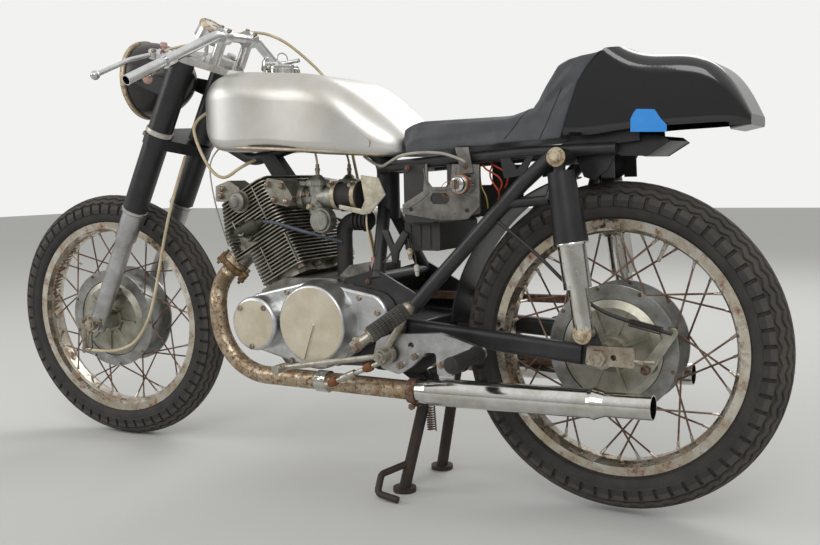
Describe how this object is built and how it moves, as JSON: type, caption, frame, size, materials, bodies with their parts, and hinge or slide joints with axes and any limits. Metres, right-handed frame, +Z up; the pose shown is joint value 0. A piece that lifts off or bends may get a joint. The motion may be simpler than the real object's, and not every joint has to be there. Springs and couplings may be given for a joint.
{
  "type": "cafe racer motorcycle",
  "caption": "Single-seat cafe racer motorcycle with a bare alloy tank, an inclined finned parallel twin, wire wheels, turning fork and a folding centre stand.",
  "frame": {"origin": "floor under the middle of the whole machine's box, parked on its centre stand", "axes": "-X to the front of the machine, +X to its tail, -Y to the rider's left, +Z up"},
  "size_m": [1.9123, 0.7388, 1.014],
  "materials": {
    "tyre": "aged black road tyre",
    "rim_chrome": "rust-pitted chrome",
    "frame_paint": "satin black paint",
    "bare_tank": "brushed bare aluminium",
    "engine_alloy": "weathered cast aluminium",
    "cover_alloy": "worn polished aluminium",
    "chrome": "aged chrome",
    "rusty_header": "heat-browned plated steel",
    "rusty_steel": "rusty steel",
    "bare_steel": "bare silver steel",
    "fork_paint": "worn satin black paint",
    "dull_alloy": "dull aluminium",
    "lamp_paint": "black-brown enamel",
    "lamp_glass": "fluted lens in a rusted rim",
    "seat_vinyl": "dark grey grained vinyl",
    "tail_paint": "gloss black moulding",
    "black_rubber": "dull black rubber",
    "cable_sheath": "aged beige and black sheath",
    "tray_steel": "faded grey pressed steel"
  },
  "bodies": {
    "chassis": {"frame_spine": "frame_paint", "frame_rear": "frame_paint", "swingarm": "frame_paint", "rear_axle": "rusty_steel", "frame_bolts": "rusty_steel", "rear_brake_plate": "dull_alloy", "shock_covers": "fork_paint", "shock_bodies": "chrome", "crankcase": "engine_alloy", "engine_covers": "cover_alloy", "cylinder_barrel": "engine_alloy", "cylinder_head": "engine_alloy", "carburettors": "engine_alloy", "intake_hoses": "black_rubber", "mufflers": "chrome", "exhaust_pipes": "rusty_header", "drive_chain": "rusty_steel", "fuel_tank": "bare_tank", "filler_cap": "chrome", "seat_pad": "seat_vinyl", "tail_cowl": "tail_paint", "battery_tray": "tray_steel", "ignition_switch": "chrome", "inner_mudguard": "frame_paint", "footrest_brackets": "dull_alloy", "footrest_rubbers": "black_rubber", "foot_levers": "bare_steel", "kick_starter": "bare_steel", "stand_pin": "frame_paint", "chassis_cables": "cable_sheath", "clutch_cable": "cable_sheath"},
    "steering": {"fork_yokes": "dull_alloy", "fork_covers": "fork_paint", "fork_sliders": "dull_alloy", "handlebar": "bare_steel", "control_levers": "bare_steel", "headlamp_shell": "lamp_paint", "headlamp_rim": "lamp_glass", "speed_clock": "bare_steel", "front_axle": "rusty_steel", "front_brake_plate": "dull_alloy", "front_brake_cable": "cable_sheath"},
    "front_road_wheel": {"front_tyre": "tyre", "front_wheel": "rim_chrome"},
    "rear_road_wheel": {"rear_tyre": "tyre", "rear_wheel": "rim_chrome"},
    "stand": {"centre_stand": "rusty_steel"}
  },
  "joints": [
    {"name": "steering", "type": "hinge", "parent": "chassis", "child": "steering", "pos_m": [-0.3342, 0.00482, 0.81705], "axis": [0.454, 0, 0.891], "range_deg": [-44.5, 31.5], "deforming": ["clutch_cable"]},
    {"name": "front_wheel_spin", "type": "hinge", "parent": "steering", "child": "front_road_wheel", "pos_m": [-0.6495, -0.00084, 0.30767], "axis": [-0.1009, 0.9936, 0.0514], "continuous": true},
    {"name": "rear_wheel_spin", "type": "hinge", "parent": "chassis", "child": "rear_road_wheel", "pos_m": [0.64522, 0.00482, 0.32002], "axis": [0, 1, 0], "continuous": true},
    {"name": "stand_fold", "type": "hinge", "parent": "chassis", "child": "stand", "pos_m": [0.27022, 0.00482, 0.24002], "axis": [0, -1, 0], "range_deg": [0, 70]}
  ]
}
